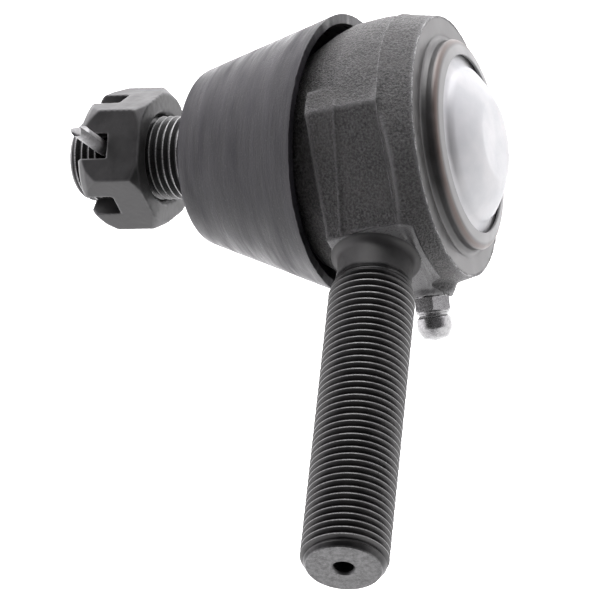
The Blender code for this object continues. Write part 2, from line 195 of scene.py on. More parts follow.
def thread(radius, start, end, chamfer, tip_radius, lead=0.8 * PITCH, lead_radius=None,
           steps=128):
    """A right-hand thread about local Z whose rows follow the helix, trimmed at both ends.

    It rises from the lead radius over the length of its lead, and falls to the tip radius."""
    rise = radius - (lead_radius or radius)
    crest, root = 0.07, 0.09
    phases = (-crest, 0, crest, 0.16, 0.34, 0.5 - root, 0.5, 0.5 + root, 0.66, 0.84)
    turns = int((end - start) / PITCH) + 3
    rows = [turn - 1 + phase for turn in range(turns) for phase in phases]
    verts, faces = [], []
    for row in rows:
        off_crest = abs(row - round(row))
        cut = min(max((off_crest - crest) / (0.5 - root - crest), 0), 1) * THREAD_DEPTH
        for i in range(steps):
            height = min(max(start + PITCH * (row + i / steps), start), end)
            fade = min((height - start) / lead, 1)
            crown = radius - rise * (1 - fade) ** 1.5
            edge = crown - max(0, height - (end - chamfer)) * (radius - tip_radius) / chamfer
            r = min(radius - cut if rise else radius - cut * fade, edge)
            angle = 2 * pi * i / steps
            verts.append((r * cos(angle), r * sin(angle), height))
    for k in range(len(rows) - 1):
        for i in range(steps):
            if i < steps - 1:
                low, high, across = k, k + 1, i + 1
                faces.append((low * steps + i, low * steps + across,
                              high * steps + across, high * steps + i))
            elif k + 1 + len(phases) < len(rows):
                seam = k + len(phases)
                faces.append((k * steps + i, seam * steps,
                              (seam + 1) * steps, (k + 1) * steps + i))
    return verts, faces


def merged(*shapes):
    """Several (vertices, faces) pairs as one."""
    verts, faces = [], []
    for more_verts, more_faces in shapes:
        faces += [[index + len(verts) for index in face] for face in more_faces]
        verts += more_verts
    return verts, faces


def solid(name, shape, place):
    """An object in the row frame from local vertices and faces."""
    verts, faces = shape
    work = bmesh.new()
    made = [work.verts.new(place @ Vector(v)) for v in verts]
    for face in faces:
        work.faces.new([made[index] for index in face])
    bmesh.ops.remove_doubles(work, verts=work.verts[:], dist=WELD)
    loose = [v for v in work.verts if not v.link_faces]
    bmesh.ops.delete(work, geom=loose, context="VERTS")
    bmesh.ops.recalc_face_normals(work, faces=work.faces[:])
    mesh = bpy.data.meshes.new(name)
    work.to_mesh(mesh)
    work.free()
    obj = bpy.data.objects.new(name, mesh)
    bpy.context.scene.collection.objects.link(obj)
    return obj


def prism(outline, low, high, taper=1.0):
    """Vertices and faces of a flat outline drawn along local Z, scaled at the far end."""
    count = len(outline)
    verts = [(x, y, low) for x, y in outline] + [(x * taper, y * taper, high) for x, y in outline]
    faces = [list(range(count)), list(range(count, 2 * count))]
    faces += [(i, (i + 1) % count, (i + 1) % count + count, i + count) for i in range(count)]
    return verts, faces


def polygon(sides, radius, turn=0.0):
    return [(radius * cos(turn + 2 * pi * i / sides), radius * sin(turn + 2 * pi * i / sides))
            for i in range(sides)]


def rectangle(x_low, x_high, y_low, y_high):
    return [(x_low, y_low), (x_high, y_low), (x_high, y_high), (x_low, y_high)]


def carve(target, operation, *helpers):
    for helper in helpers:
        modifier = target.modifiers.new(operation.lower(), "BOOLEAN")
        modifier.operation = operation
        modifier.solver = "EXACT"
        modifier.object = helper


def settle(obj):
    """Apply the modifiers, and remove the objects that they used."""
    helpers = {m.object for m in obj.modifiers if getattr(m, "object", None)}
    bpy.context.view_layer.update()
    graph = bpy.context.evaluated_depsgraph_get()
    mesh = bpy.data.meshes.new_from_object(obj.evaluated_get(graph))
    obj.modifiers.clear()
    obj.data = mesh
    for helper in helpers:
        bpy.data.objects.remove(helper, do_unlink=True)
    return obj


def remesh(obj, voxel):
    modifier = obj.modifiers.new("remesh", "REMESH")
    modifier.mode = "VOXEL"
    modifier.voxel_size = voxel * MM
    return settle(obj)


def points_of(mesh):
    """The vertices of a mesh as an array, in millimetres."""
    flat = np.empty(len(mesh.vertices) * 3)
    mesh.vertices.foreach_get("co", flat)
    return flat.reshape(-1, 3) / MM


def store_points(mesh, points):
    mesh.vertices.foreach_set("co", (points * MM).ravel())
    mesh.update()


def relaxed(mesh, rounds, weight=1.0):
    """The mesh's points after smoothing, each by its own weight."""
    points = points_of(mesh)
    edges = np.empty(len(mesh.edges) * 2, dtype=np.int64)
    mesh.edges.foreach_get("vertices", edges)
    first, second = edges.reshape(-1, 2).T
    count = len(points)
    degree = np.bincount(edges, minlength=count)
    for _ in range(rounds):
        for axis in range(3):
            column = points[:, axis]
            total = np.bincount(first, column[second], count)
            total += np.bincount(second, column[first], count)
            points[:, axis] = column + weight * 0.5 * (total / degree - column)
    return points


def mark_edges(mesh, rounds, size):
    """Store how far each point stands out around it, as the attribute "stands_out"."""
    out = ((points_of(mesh) - relaxed(mesh, rounds)) * vertex_normals(mesh)).sum(axis=1)
    attribute = mesh.attributes.new("stands_out", "FLOAT", "POINT")
    attribute.data.foreach_set("value", np.clip(out / size, -1, 1).astype(np.float32))


def noise_at(points, size, seed):
    """Smooth noise from -1 to 1 with features of about that size in millimetres."""
    shift = Vector((seed * 17.3, seed * 5.1, seed * 9.7))
    return np.array([noise.noise(Vector(p) / size + shift) for p in points])


def vertex_normals(mesh):
    flat = np.empty(len(mesh.vertices) * 3)
    mesh.vertex_normals.foreach_get("vector", flat)
    return flat.reshape(-1, 3)


def bell(distance, width):
    return np.exp(-(distance / width) ** 2)


def place_piece(obj, look, body, slot, *nodes, sharp=35):
    """Material, shading and CAD body for a finished piece."""
    obj.data.materials.clear()
    obj.data.materials.append(look)
    obj.data.shade_smooth()
    obj.data.set_sharp_from_angle(angle=radians(sharp))
    if isinstance(body, str):
        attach(obj, body)
    else:
        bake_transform(obj)
    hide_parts(*nodes)


# ---------------------------------------------------------------- materials

class Look:
    """A procedural material whose patterns are in the local millimetres of a frame."""

    def __init__(self, name, place=ROW, metallic=0.0, **settings):
        self.material = bpy.data.materials.new(name)
        self.material.use_nodes = True
        self.tree = self.material.node_tree
        self.shader = self.tree.nodes["Principled BSDF"]
        self.shader.inputs["Metallic"].default_value = metallic
        for key, value in settings.items():
            self.shader.inputs[key.replace("_", " ")].default_value = value
        back = place.inverted()
        mapping = self.node("ShaderNodeMapping")
        mapping.inputs["Location"].default_value = back.to_translation()
        mapping.inputs["Rotation"].default_value = back.to_euler()
        mapping.inputs["Scale"].default_value = back.to_scale()
        source = self.node("ShaderNodeTexCoord").outputs["Object"]
        self.tree.links.new(source, mapping.inputs["Vector"])
        self.point = mapping.outputs["Vector"]
        parts = self.node("ShaderNodeSeparateXYZ")
        self.tree.links.new(self.point, parts.inputs[0])
        self.x, self.y, self.z = parts.outputs
        self.normal = None

    def node(self, kind, **settings):
        made = self.tree.nodes.new(kind)
        for key, value in settings.items():
            setattr(made, key, value)
        return made

    def feed(self, socket, value):
        if isinstance(value, bpy.types.NodeSocket):
            self.tree.links.new(value, socket)
        else:
            socket.default_value = value

    def math(self, operation, *values):
        made = self.node("ShaderNodeMath", operation=operation)
        for socket, value in zip(made.inputs, values):
            self.feed(socket, value)
        return made.outputs[0]

    def plus(self, first, second):
        return self.math("ADD", first, second)

    def times(self, first, second):
        return self.math("MULTIPLY", first, second)

    def radius(self):
        """Distance from the local Z axis."""
        return self.length(self.x, self.y)

    def length(self, first, second):
        """Length of the vector with these two parts."""
        square = self.plus(self.times(first, first), self.times(second, second))
        return self.math("SQRT", square)

    def stretched(self, x, y, z):
        made = self.node("ShaderNodeVectorMath", operation="MULTIPLY")
        self.feed(made.inputs[0], self.point)
        made.inputs[1].default_value = (x, y, z)
        return made.outputs[0]

    def noise(self, size, detail=2.0, roughness=0.5, vector=None):
        """Noise with features of about that size in millimetres."""
        made = self.node("ShaderNodeTexNoise")
        self.feed(made.inputs["Vector"], vector or self.point)
        made.inputs["Scale"].default_value = 1 / size
        made.inputs["Detail"].default_value = detail
        made.inputs["Roughness"].default_value = roughness
        return made.outputs["Fac"]

    def span(self, value, low, high, to_low=0.0, to_high=1.0, smooth=False):
        """A value carried from one range to another, clamped."""
        kind = "SMOOTHSTEP" if smooth else "LINEAR"
        made = self.node("ShaderNodeMapRange", interpolation_type=kind)
        for socket, item in zip(made.inputs, (value, low, high, to_low, to_high)):
            self.feed(socket, item)
        return made.outputs[0]

    def band(self, value, centre, width):
        """One near the centre, falling to nothing at the width on both sides."""
        away = self.math("ABSOLUTE", self.math("SUBTRACT", value, centre))
        return self.span(away, 0, width, 1, 0, smooth=True)

    def blend(self, factor, first, second):
        """Two colours, or a colour and a socket, mixed by a factor."""
        made = self.node("ShaderNodeMix", data_type="RGBA")
        self.feed(made.inputs["Factor"], factor)
        for socket, value in zip((made.inputs[6], made.inputs[7]), (first, second)):
            self.feed(socket, value if isinstance(value, bpy.types.NodeSocket) else (*value, 1))
        return made.outputs[2]

    def edges(self, low, high):
        """Where the surface stands out, or lies back where the limits are negative."""
        stored = self.node("ShaderNodeAttribute", attribute_name="stands_out")
        return self.span(stored.outputs["Fac"], low, high)

    def tool_marks(self, distance, spacing):
        """A wave along a distance, as a lathe tool leaves it; both are in millimetres."""
        return self.math("SINE", self.times(distance, 2 * pi / spacing))

    def bump(self, height, depth, strength=1.0):
        """Add relief; depth is in millimetres."""
        made = self.node("ShaderNodeBump")
        made.inputs["Strength"].default_value = strength
        made.inputs["Distance"].default_value = depth * MM
        self.feed(made.inputs["Height"], height)
        if self.normal:
            self.feed(made.inputs["Normal"], self.normal)
        self.normal = made.outputs["Normal"]
        self.feed(self.shader.inputs["Normal"], self.normal)

    def surface(self, colour, roughness):
        self.feed(self.shader.inputs["Base Color"], colour)
        self.feed(self.shader.inputs["Roughness"], roughness)
        return self.material


def grey(value, warm=0.0):
    """A near neutral colour; warm is how far it leans to red."""
    return (value * (1 + warm), value, value * (1 - warm))


def forged_look():
    """Dark scaled forging with a coarse grain, bright flash lines and one machined face; its edges and
    ridge carry painted highlights and its hollows painted shade.
    """
    look = Look("forged_steel", metallic=0.0)
    grain = look.noise(0.42, 3, 0.65)
    patches = look.noise(5.5, 3)
    colour = look.blend(look.span(grain, 0.38, 0.66), grey(0.003, 0.02), grey(0.064, 0.02))
    colour = look.blend(look.span(patches, 0.45, 0.7, 0, 0.45), colour, grey(0.045, 0.05))
    jagged = look.times(look.math("SUBTRACT", look.noise(0.9, 3, 0.7), 0.5), 0.35)
    height = look.plus(look.y, jagged)
    distance = look.length(look.x, look.z)
    # Painted highlight: the edges that stand out are lightened, as if light catches them.
    colour = look.blend(look.edges(0.15, 0.8), colour, grey(0.085))
    # Painted shade: hollows and inside corners are darkened, where shade falls.
    colour = look.blend(look.edges(-0.1, -0.7), colour, grey(0.018))
    broken = look.span(look.noise(1.7, 3, 0.7), 0.40, 0.60, 0.1, 1)
    # Painted highlight: a bright broken line along the ridge's sharp edge.
    rim = look.times(look.band(height, RIDGE_Y - 0.04, 0.14), look.span(distance, 23.9, 24.1))
    colour = look.blend(look.times(rim, broken), colour, grey(0.42))
    flash = look.times(look.band(height, PARTING_Y, 0.16), broken)
    colour = look.blend(look.times(flash, 0.6), colour, grey(0.20))
    slanted = look.span(look.plus(look.x, look.z), SLANT_SUM - 3, SLANT_SUM - 2)
    leaning = look.times(look.math("SUBTRACT", look.x, look.z), SEAM_LEAN)
    seam = look.times(look.band(look.plus(height, leaning), SEAM_Y, 0.4), slanted)
    colour = look.blend(look.times(seam, 0.35), colour, grey(0.14))
    outside = look.span(look.y, PARTING_Y + 2.6, PARTING_Y + 2.8, 1, 0)
    face = look.times(look.span(look.x, NECK_FACE - 0.22, NECK_FACE - 0.12), outside)
    from_shank = look.length(look.plus(look.y, BORE_TO_SHANK), look.z)
    turning = look.tool_marks(from_shank, 0.35)
    colour = look.blend(face, colour, look.blend(look.span(turning, -1, 1), grey(0.09), grey(0.12)))
    grain_height = look.times(grain, look.span(face, 0, 1, 1, 0))
    look.bump(grain_height, 0.55, 1.0)
    look.bump(look.times(turning, face), 0.004, 0.6)
    rough = look.span(grain, 0.3, 0.75, 0.56, 0.34)
    rough = look.math("SUBTRACT", rough, look.times(face, 0.15))
    return look.surface(colour, rough)


def turned_look():
    """The machined end: fine tool marks round the bore, with a heat tint at the rolled shoulder and
    painted shade in the crease under the lip.
    """
    look = Look("turned_steel", BORE, metallic=0.55)
    radius = look.radius()
    lines = look.plus(look.tool_marks(radius, 0.28), look.tool_marks(look.z, 0.3))
    blotch = look.noise(4.0, 3)
    colour = look.blend(look.span(blotch, 0.35, 0.7), grey(0.070, 0.02), grey(0.112, 0.01))
    shoulder = look.times(look.band(radius, 19.2, 0.75), look.span(look.z, -6.1, -5.4))
    colour = look.blend(look.times(shoulder, 0.5), colour, (0.11, 0.070, 0.055))
    rolled = look.times(look.span(radius, 18.7, 18.2), look.span(look.z, -5.3, -5.0))
    colour = look.blend(look.times(rolled, 0.6), colour, grey(0.22))
    # Painted shade: the crease at the foot of the rolled lip is darkened.
    lip_crease_shade = look.times(look.band(radius, 19.6, 0.5), look.span(look.z, -5.5, -6.0))
    colour = look.blend(look.times(lip_crease_shade, 0.55), colour, grey(0.035))
    look.bump(lines, 0.003, 0.5)
    look.bump(blotch, 0.05, 0.4)
    return look.surface(colour, look.span(blotch, 0.3, 0.7, 0.34, 0.48))


def shank_look():
    """Turned steel with painted shade in the thread roots and painted highlights on the crests."""
    look = Look("thread_steel", SHANK, metallic=0.75)
    radius = look.radius()
    blotch = look.noise(3.0, 3)
    fine = look.noise(0.25, 2, 0.6, look.stretched(1, 1, 0.4))
    # Painted shade: darker in the thread roots, lighter out on the crests and on the plain neck.
    plain = look.span(look.z, THREAD_START, THREAD_START - 0.6)
    light = look.math("MAXIMUM", look.span(radius, 7.1, 7.75), plain)
    colour = look.blend(light, grey(0.020), grey(0.065, 0.01))
    colour = look.blend(look.span(blotch, 0.45, 0.75, 0, 0.5), colour, grey(0.09, 0.02))
    # Painted highlight: bright lines along the thread crests, broken up by fine noise.
    lead_in = look.span(look.z, THREAD_START, THREAD_START + 3)
    crest = look.times(look.span(radius, SHANK_R - 0.05, SHANK_R - 0.01), lead_in)
    crest_highlight_breakup = look.span(fine, 0.35, 0.6, 0.1, 0.7)
    colour = look.blend(look.times(crest, crest_highlight_breakup), colour, grey(0.17))
    end = look.span(look.z, SHANK_END - 0.3, SHANK_END - 0.1)
    rings = look.tool_marks(radius, 0.3)
    mottled = look.span(look.noise(0.7, 4, 0.7), 0.35, 0.65)
    colour = look.blend(end, colour, look.blend(mottled, grey(0.06), grey(0.135)))
    look.bump(look.times(rings, end), 0.004, 0.6)
    look.bump(fine, 0.012, 0.5)
    rough = look.plus(look.span(blotch, 0.3, 0.7, 0.30, 0.42), look.times(plain, 0.2))
    return look.surface(colour, rough)


def plug_look():
    """Clear zinc plate on a deep-drawn plug, softly clouded."""
    look = Look("plug_zinc", BORE, metallic=0.45)
    cloud = look.noise(6.0, 2)
    fine = look.noise(0.5, 3, 0.6)
    colour = look.blend(look.span(cloud, 0.35, 0.65), (0.37, 0.375, 0.385), (0.43, 0.43, 0.435))
    colour = look.blend(look.span(look.noise(0.9, 1), 0.70, 0.76, 0, 0.25), colour, grey(0.42))
    look.bump(fine, 0.004, 0.6)
    return look.surface(colour, look.span(fine, 0.3, 0.7, 0.44, 0.52))


def rubber_look():
    """Satin black rubber with faint streaks that run round it."""
    look = Look("boot_rubber", STUD, metallic=0.0, Specular_IOR_Level=0.32)
    streaks = look.noise(1.0, 4, 0.6, look.stretched(0.10, 0.10, 1.1))
    wide = look.noise(3.5, 2, 0.5, look.stretched(0.25, 0.25, 1.0))
    dust = look.noise(0.35, 2, 0.6)
    colour = look.blend(look.span(streaks, 0.35, 0.7), (0.004, 0.0038, 0.0052), (0.018, 0.017, 0.021))
    colour = look.blend(look.span(dust, 0.60, 0.78, 0, 0.5), colour, grey(0.05))
    look.bump(streaks, 0.07, 0.8)
    look.bump(dust, 0.04, 0.8)
    rough = look.span(streaks, 0.3, 0.7, 0.30, 0.54)
    rough = look.plus(rough, look.span(wide, 0.3, 0.7, -0.12, 0.12))
    return look.surface(colour, rough)


def black_steel_look(name, place):
    """Oiled black finish with lighter edges: partly rubbed wear, partly painted edge highlights."""
    look = Look(name, place, metallic=0.0, Specular_IOR_Level=0.5)
    blotch = look.noise(3.2, 3)
    fine = look.noise(0.22, 2, 0.6)
    colour = look.blend(look.span(blotch, 0.35, 0.7), grey(0.009), grey(0.020, 0.02))
    colour = look.blend(look.span(fine, 0.62, 0.75, 0, 0.5), colour, grey(0.045))
    # Lighter along the edges that stand out: partly rubbed wear, partly painted highlight.
    colour = look.blend(look.times(look.edges(0.15, 0.8), 0.7), colour, grey(0.10))
    look.bump(fine, 0.014, 0.6)
    look.bump(blotch, 0.10, 0.4)
    return look.surface(colour, look.span(blotch, 0.3, 0.7, 0.30, 0.44))


def stud_look():
    """Black stud with painted highlights: bright lines along the thread crests."""
    look = Look("stud_black", STUD, metallic=0.3, Specular_IOR_Level=0.8)
    radius = look.radius()
    fine = look.noise(0.25, 2, 0.6)
    colour = look.blend(look.span(fine, 0.35, 0.7), grey(0.014), grey(0.03))
    threaded = look.span(look.z, BOOT_TOP - 1, BOOT_TOP)
    # Painted highlight: bright lines along the thread crests, broken up by fine noise.
    crest = look.times(look.span(radius, STUD_THREAD_R - 0.09, STUD_THREAD_R - 0.02), threaded)
    crest_highlight_breakup = look.span(fine, 0.35, 0.6, 0.3, 0.9)
    colour = look.blend(look.times(crest, crest_highlight_breakup), colour, grey(0.45))
    near_tip = look.span(look.z, STUD_END - 1.3, STUD_END - 0.9)
    end = look.times(near_tip, look.span(radius, 6.0, 6.6))
    colour = look.blend(look.times(end, 0.5), colour, grey(0.16))
    look.bump(fine, 0.015, 0.6)
    return look.surface(colour, look.span(fine, 0.3, 0.7, 0.26, 0.40))


def bright_look(name, place, shade, rough, spangle, metallic=0.85):
    """Plated or galvanised steel; the spangle size sets how coarse its crystals look."""
    look = Look(name, place, metallic=metallic)
    crystals = look.node("ShaderNodeTexVoronoi")
    look.feed(crystals.inputs["Vector"], look.point)
    crystals.inputs["Scale"].default_value = 1 / spangle
    grains = look.noise(spangle * 0.8, 3, 0.7)
    patch = look.span(crystals.outputs["Color"], 0.2, 0.8)
    colour = look.blend(patch, grey(shade * 0.75), grey(shade))
    colour = look.blend(look.span(grains, 0.58, 0.72, 0, 0.4), colour, grey(shade * 0.45))
    look.bump(grains, spangle * 0.10, 0.7)
    return look.surface(colour, look.span(grains, 0.3, 0.7, rough, rough + 0.18))


def sintered_look():
    """Oil-filled sintered iron: fine open pores."""
    look = Look("sintered_iron", metallic=0.7)
    pores = look.noise(0.3, 3, 0.7)
    colour = look.blend(look.span(pores, 0.38, 0.6), grey(0.05), grey(0.17, 0.04))
    look.bump(pores, 0.03, 0.8)
    return look.surface(colour, look.span(pores, 0.3, 0.7, 0.6, 0.42))


def spring_look():
    """Tempered spring steel with a straw and blue cast in places."""
    look = Look("spring_steel", metallic=1.0)
    cloud = look.noise(2.4, 3)
    fine = look.noise(0.3, 2)
    colour = look.blend(look.span(cloud, 0.35, 0.65), (0.26, 0.25, 0.25), (0.34, 0.29, 0.22))
    colour = look.blend(look.span(fine, 0.6, 0.75, 0, 0.4), colour, (0.16, 0.18, 0.24))
    look.bump(fine, 0.01, 0.6)
    return look.surface(colour, look.span(cloud, 0.3, 0.7, 0.26, 0.40))


def nylon_look():
    """Natural nylon with moulding flow lines."""
    look = Look("ring_nylon", STUD, Subsurface_Weight=0.15, Subsurface_Scale=0.001)
    flow = look.noise(1.2, 3, 0.5, look.stretched(0.3, 0.3, 1.4))
    colour = look.blend(look.span(flow, 0.3, 0.7), (0.62, 0.58, 0.47), (0.74, 0.71, 0.62))
    look.bump(flow, 0.03, 0.4)
    return look.surface(colour, look.span(flow, 0.3, 0.7, 0.42, 0.55))


# ---------------------------------------------------------------- socket

def neck_plan():
    """The neck's outline in the (x, z) plane, from the barrel round to the machined face."""
    lean = radians(34)
    foot = Vector((cos(lean), -sin(lean))) * FITTING_SEAT
    along = Vector((sin(lean), cos(lean)))
    beyond = NECK_FACE + 3
    plan = [(BARREL_R * cos(LEDGE_ANGLE), BARREL_R * sin(LEDGE_ANGLE)), (SLANT_SUM - LEDGE_Z, LEDGE_Z)]
    plan.append((beyond, SLANT_SUM - beyond))
    plan.append(tuple(foot + along * ((beyond - foot.x) / along.x)))
    plan.append(tuple(foot - along * 7.5))
    return plan + [(9.5, -23.6), (0, -18), (0, 18)]


def forging_blank():
    """The socket before the neck is joined to it, turned about the bore."""
    outline = [
        (BORE_R, -8.6),
        (RIDGE_R - 0.9, -8.6),
        (RIDGE_R - 0.35, RIDGE_Y),
        (RIDGE_R, RIDGE_Y),
        (BARREL_R, PARTING_Y),
        (BARREL_R - 0.1, -19.0),
        (25.0, -22.5),
        (23.9, -25.8),
        (22.5, -28.9),
        (20.8, -32.0),
        (18.7, BARREL_END),
        FLARE_MOUTH,
        FLARE_WAIST,
    ]
    seat = arc(SEAT_R, 50, 90, 9, BALL_Y)
    return solid("forged_body", lathe(outline + seat, closed=True), BORE)


def slant_block():
    """What the neck's slanted face clears away from the barrel, below the parting plane."""
    place = local_frame((0, PARTING_Y * MM, 0), (1, 0, 1), (0, 1, 0))
    lean = Matrix.Translation((0, 0, SLANT_SUM / sqrt(2))) @ Matrix.Rotation(-SLANT_LEAN, 4, "Y")
    return solid("slant_block", prism(rectangle(-25, 0, -10.2, 30), 0, 20), place @ lean)


def slant_step():
    """The sloping step from the slanted face up to the flank beyond the parting plane."""
    across = local_frame((0, PARTING_Y * MM, 0), (1, 0, -1), (0, 1, 0))
    face = SLANT_SUM / sqrt(2)
    outline = [(-0.4, face), (-0.4, face + 9), (1.9, face + 9), (1.9, face + 2.6), (0.15, face)]
    return solid("slant_step", prism(outline, -30, 11), across)


def dome_relief():
    """Lowers the dome beyond the neck's stud side, so the slanted face ends in a clear edge."""
    place = local_frame((0, (PARTING_Y - 14.25) * MM, 0), (1, 0, 1), (0, 1, 0))
    lean = Matrix.Translation((0, 0, 21.4)) @ Matrix.Rotation(radians(-16), 4, "Y")
    return solid("dome_relief", prism(rectangle(-25, 0, -14, 18), 0, 20), place @ lean)


def boot_clearance():
    """Clears the neck's lower corner for the boot's rim at the end of the stud's swing."""
    pivot = Matrix.Translation(BALL_CENTRE)
    swung = pivot @ Matrix.Rotation(SWING_LIMIT, 4, "X") @ pivot.inverted() @ STUD
    room, outer, reach = 0.45, 36.0, 8.0
    inner = BOOT_RIM_R - BOOT_WALL - room
    narrowing = BOOT_SLOPE * reach
    outline = [
        (inner, BOOT_RIM - room),
        (outer, BOOT_RIM - room),
        (outer, BOOT_RIM + reach),
        (inner - narrowing, BOOT_RIM + reach),
    ]
    return solid("boot_clearance", lathe(outline, 96, closed=True), swung)


def neck_block():
    """The neck, drawn down from the parting plane with draft towards the stud side."""
    down = local_frame((0, 0, 0), (0, -1, 0), (1, 0, 0))
    depth = BORE_TO_SHANK + 7.0
    return solid("neck_block", prism(neck_plan(), -PARTING_Y, depth, taper=0.95), down)


def make_forging():
    """The socket and the neck as one forging, with its edges softened and its scale."""
    body = forging_blank()
    down = local_frame((0, 0, 0), (0, -1, 0), (1, 0, 0))
    beyond_face = prism(rectangle(NECK_FACE, 60, -40, 40), -PARTING_Y - FACE_RUN_OUT, 60)
    beyond = solid("beyond", beyond_face, down)
    pad = solid("pad", prism(polygon(64, 8.6), 16, FITTING_SEAT, taper=0.5), FITTING)
    passage = [(0, 2), (BORE_R, 2), (BORE_R, BALL_Y)] + arc(SEAT_R, 90, 50, 9, BALL_Y)
    passage += [FLARE_WAIST, FLARE_MOUTH, (FLARE_MOUTH[0], -40), (0, -40)]
    bore = solid("bore", lathe(passage), BORE)
    hole = solid("hole", prism(polygon(48, 3.3), 8, 40), FITTING)
    carve(body, "DIFFERENCE", slant_block())
    carve(body, "UNION", neck_block())
    carve(body, "DIFFERENCE", slant_step(), dome_relief(), beyond, boot_clearance())
    carve(body, "UNION", pad)
    carve(body, "DIFFERENCE", bore, hole)
    settle(body)
    remesh(body, 0.28)
    weather_forging(body.data)
    place_piece(body, forged_look(), "socket", "forged_steel", "housing", sharp=180)


def weather_forging(mesh):
    """Round the forged edges, then add die flash, scale and a slight waviness."""
    points = points_of(mesh)
    x, y, z = points.T
    near_rim = np.clip((y + 9.4) / 0.8, 0, 1)
    near_face = np.clip((x - NECK_FACE + 1.0) / 0.5, 0, 1) * (y < PARTING_Y + FACE_RUN_OUT + 0.4)
    bore = np.hypot(x, z) < BORE_R + 1.8
    forged = 1 - np.clip(near_rim + near_face + bore, 0, 1)
    store_points(mesh, relaxed(mesh, 9, 0.12 + 0.88 * forged))
    points = points_of(mesh)
    x, y, z = points.T
    radius = np.hypot(x, z)
    wander = 0.22 * noise_at(points, 2.5, 3)
    lump = 0.10 * noise_at(points, 4.0, 1) + 0.045 * noise_at(points, 1.1, 2)
    grain = 0.045 * noise_at(points, 0.60, 5)
    broken = 0.6 + 0.5 * noise_at(points, 1.6, 4)
    outside = radius > BORE_R + 3.2
    flash = 0.24 * bell(y - PARTING_Y - wander, 0.32) * (radius > BARREL_R - 1.2) * broken
    off_slant = (x + z - SLANT_SUM) / sqrt(2) - tan(SLANT_LEAN) * (y - PARTING_Y)
    on_slant = np.clip(1.3 - abs(off_slant), 0, 1) * (x < NECK_FACE - 0.6)
    seam = 0.26 * bell(y - SEAM_Y + SEAM_LEAN * (x - z) - 1.4 * wander, 0.38) * on_slant
    burr = 0.16 * bell(y - RIDGE_Y, 0.22) * broken * (radius > RIDGE_R - 0.6)
    mark_edges(mesh, 14, 0.10)
    rise = (lump + grain) * (0.15 + 0.85 * forged) * outside + flash * outside + seam + burr
    store_points(mesh, points + vertex_normals(mesh) * rise[:, None])


def make_turned_end():
    """The machined annulus and the lip rolled over the plug."""
    outline = rounded([
        (16.57, -4.38, 0.25),
        (19.0, -4.82, 0.8),
        (19.62, -5.5, 0.4),
        (19.5, RIDGE_Y + 0.9, 0.2),
        (19.95, RIDGE_Y + 0.02, 0.5),
        (20.5, RIDGE_Y - 0.1, 0.2),
        (20.8, RIDGE_Y, 0.3),
        (RIDGE_R - 0.12, RIDGE_Y, 0.1),
        (RIDGE_R - 0.2, -8.5, 0.1),
        (BORE_R + 0.05, -8.5, 0.1),
        (BORE_R + 0.05, -7.3, 0.1),
        (17.9, -7.3, 0.1),
        (17.9, -5.25, 0.2),
        (16.57, -4.95, 0.15),
    ])
    piece = solid("turned_end", lathe(outline, 256, closed=True), BORE)
    place_piece(piece, turned_look(), "socket", "forged_steel", "housing")


def make_shank():
    """The threaded shank: fillet, neck, thread and drilled end."""
    sweep = 1.35
    fillet = [(SHANK_NECK_R + sweep * (1 - sin(a)), NECK_FACE + 0.02 + 1.1 * sweep * (1 - cos(a)))
              for a in np.radians(np.linspace(0, 90, 12))]
    neck = [(0, NECK_FACE - 5), (6.0, NECK_FACE - 5), (6.0, NECK_FACE - 1)]
    neck += fillet + [(SHANK_NECK_R, THREAD_START)]
    tip = [
        (6.74, SHANK_END),
        (2.2, SHANK_END),
        (1.8, SHANK_END - 0.4),
        (1.7, SHANK_END - 3.6),
        (0, SHANK_END - 4.2),
    ]
    rod = thread(SHANK_R, THREAD_START, SHANK_END, 1.9, 6.74, 3.6, SHANK_NECK_R)
    shape = merged(lathe(neck, 128), rod, lathe(tip, 128))
    piece = solid("threaded_shank", shape, SHANK)
    place_piece(piece, shank_look(), "socket", "forged_steel", "housing", sharp=28)


def make_plug():
    """A domed pressing with a flat crown and a flange held under the rolled lip."""
    crown_r, dome_r = 7.6, 22.0
    drop = sqrt(dome_r ** 2 - crown_r ** 2)
    dome = [(r, sqrt(dome_r ** 2 - r ** 2) - drop) for r in np.linspace(8.4, 14.0, 10)]
    inner = [(r, -2 - sqrt(400 - 49) + sqrt(400 - r ** 2)) for r in np.linspace(13.3, 7.6, 8)]
    outline = [(0, 0), (3.8, -0.005, 0), (crown_r, -0.02, 0.7)]
    outline += [(r, z, 0) for r, z in dome]
    outline += [
        (14.7, -4.85, 0.7),
        (15.9, -5.35, 0.6),
        (17.6, -5.6, 0.2),
        (17.6, -7.0, 0.1),
        (13.9, -7.0, 0.3),
    ]
    outline += [(r, z, 0) for r, z in inner] + [(7.0, -2, 0.4), (0, -2)]
    piece = solid("end_plug_shell", lathe(rounded(outline, 0), 256), BORE)
    place_piece(piece, plug_look(), "socket", "plug_zinc", "end_plug")


